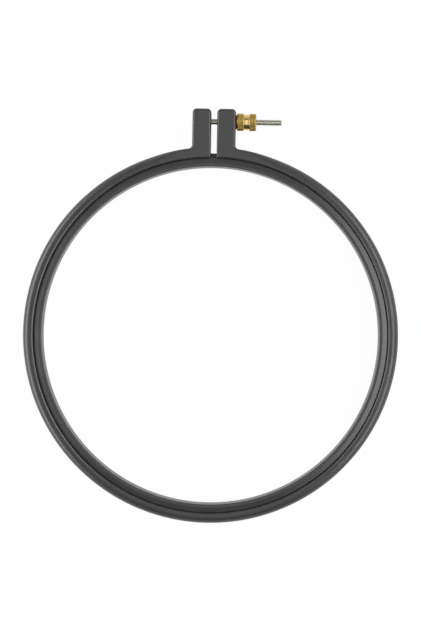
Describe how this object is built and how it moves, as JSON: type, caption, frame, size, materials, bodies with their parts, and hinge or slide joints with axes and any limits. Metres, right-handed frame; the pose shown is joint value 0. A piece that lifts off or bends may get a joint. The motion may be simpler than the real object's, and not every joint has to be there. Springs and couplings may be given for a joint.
{
  "type": "embroidery hoop",
  "caption": "Round embroidery hoop: a plain inner ring with a back lip, and a split outer ring whose lugs are drawn together by a clamp screw and a knurled nut.",
  "frame": {"origin": "centre of the work opening, halfway up the rings", "axes": "+Z out of the front of the hoop, +Y towards the lugs, +X along the screw towards the nut"},
  "size_m": [0.1896, 0.209, 0.0094],
  "materials": {
    "ring_plastic": "moulded, satin, charcoal grey",
    "screw_steel": "zinc-plated machine screw",
    "nut_brass": "turned and knurled, bright"
  },
  "bodies": {
    "inner_ring_body": {"inner_ring": "ring_plastic"},
    "outer_ring_body": {"outer_ring": "ring_plastic", "clamp_screw": "screw_steel"},
    "washer_body": {"washer": "nut_brass"},
    "nut_body": {"thumb_nut": "nut_brass"}
  },
  "joints": [
    {"name": "outer_ring_lift", "type": "slide", "parent": "inner_ring_body", "child": "outer_ring_body", "axis": [0, 0, 1], "range_m": [0, 0.012]},
    {"name": "nut_travel", "type": "slide", "parent": "outer_ring_body", "child": "washer_body", "axis": [1, 0, 0], "range_m": [0, 0.02]},
    {"name": "nut_turn", "type": "hinge", "parent": "washer_body", "child": "nut_body", "pos_m": [0.0163, 0.108, 0], "axis": [1, 0, 0], "range_deg": [0, 14405]}
  ],
  "couplings": [
    {"joint": "nut_turn", "follows": "nut_travel", "rad_per_m": 12566}
  ]
}
